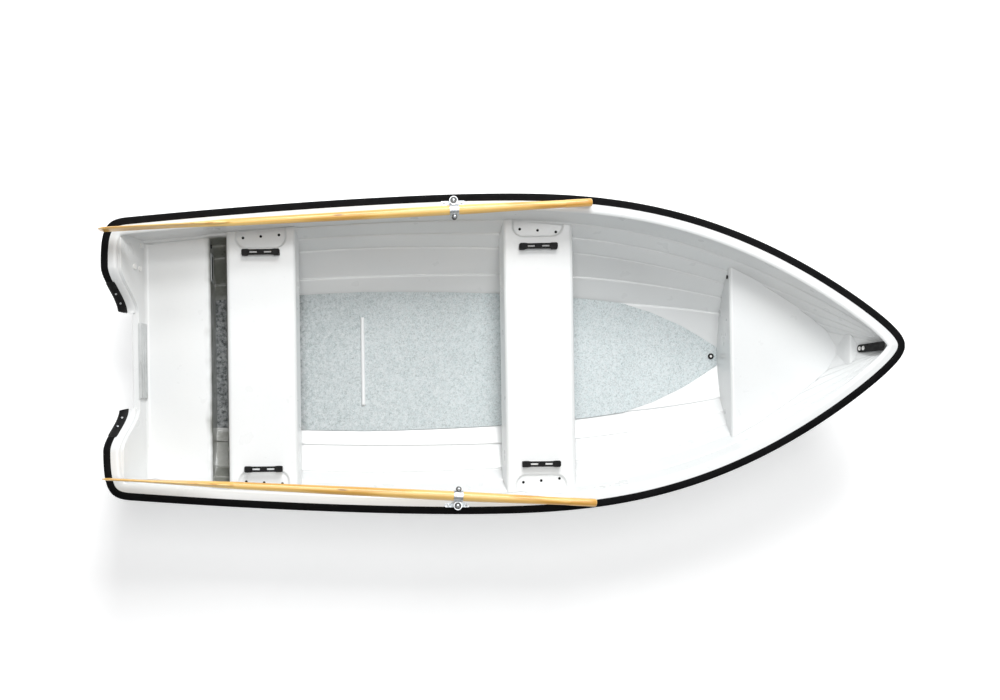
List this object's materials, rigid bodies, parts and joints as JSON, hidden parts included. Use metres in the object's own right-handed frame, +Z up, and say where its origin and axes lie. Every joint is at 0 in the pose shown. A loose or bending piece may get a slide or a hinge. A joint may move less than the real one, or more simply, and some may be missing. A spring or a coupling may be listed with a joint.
{
  "type": "rowing boat",
  "caption": "Open clinker-style rowing boat with raked transom, outboard notch, box thwarts, bow and stern seats, black rubbing rail and two pinned oars that swing and dip.",
  "frame": {"origin": "centre of the bounding box on the ground, under the keel", "axes": "+X to the bow, +Y to port, +Z up"},
  "size_m": [3.6495, 1.4798, 0.6798],
  "materials": {
    "gelcoat": "gloss white gelcoat",
    "non_skid": "speckled anti-slip",
    "rail_rubber": "satin black rubber",
    "black_plastic": "moulded black",
    "grey_plastic": "ribbed grey",
    "white_plastic": "gloss white",
    "galvanised": "dull zinc",
    "bearing_plastic": "dark nylon",
    "pine": "varnished pine"
  },
  "bodies": {
    "hull": {"hull_shell": "gelcoat", "transom": "gelcoat", "gunwale_flange": "gelcoat", "keel_strip": "gelcoat", "bilge_runners": "gelcoat", "stern_seat": "gelcoat", "rear_thwart": "gelcoat", "mid_thwart": "gelcoat", "bow_seat": "gelcoat", "bow_boss": "gelcoat", "sole": "non_skid", "foot_rib": "non_skid", "rub_rail": "rail_rubber", "rail_end_caps": "black_plastic", "grab_handles": "black_plastic", "motor_pad": "grey_plastic", "stern_plugs": "white_plastic", "hatch_plate": "black_plastic", "vent_discs": "black_plastic", "drain_ring": "black_plastic", "bow_strap": "black_plastic", "oarlock_bases": "galvanised"},
    "port_rocker": {"port_collar": "bearing_plastic"},
    "starboard_rocker": {"star_collar": "bearing_plastic"},
    "port_oar": {"port_oar": "pine", "port_clamp": "galvanised"},
    "starboard_oar": {"star_oar": "pine", "star_clamp": "galvanised"}
  },
  "joints": [
    {"name": "port_rock", "type": "hinge", "parent": "hull", "child": "port_rocker", "pos_m": [-0.197, 0.69703, 0.57107], "axis": [1, 0, 0], "range_deg": [-20, 12]},
    {"name": "port_swing", "type": "hinge", "parent": "port_rocker", "child": "port_oar", "pos_m": [-0.197, 0.69703, 0.57107], "axis": [0, 0, -1], "range_deg": [0, 110]},
    {"name": "starboard_rock", "type": "hinge", "parent": "hull", "child": "starboard_rocker", "pos_m": [-0.197, -0.69703, 0.57107], "axis": [-1, 0, 0], "range_deg": [-20, 12]},
    {"name": "starboard_swing", "type": "hinge", "parent": "starboard_rocker", "child": "starboard_oar", "pos_m": [-0.197, -0.69703, 0.57107], "axis": [0, 0, 1], "range_deg": [0, 110]}
  ]
}
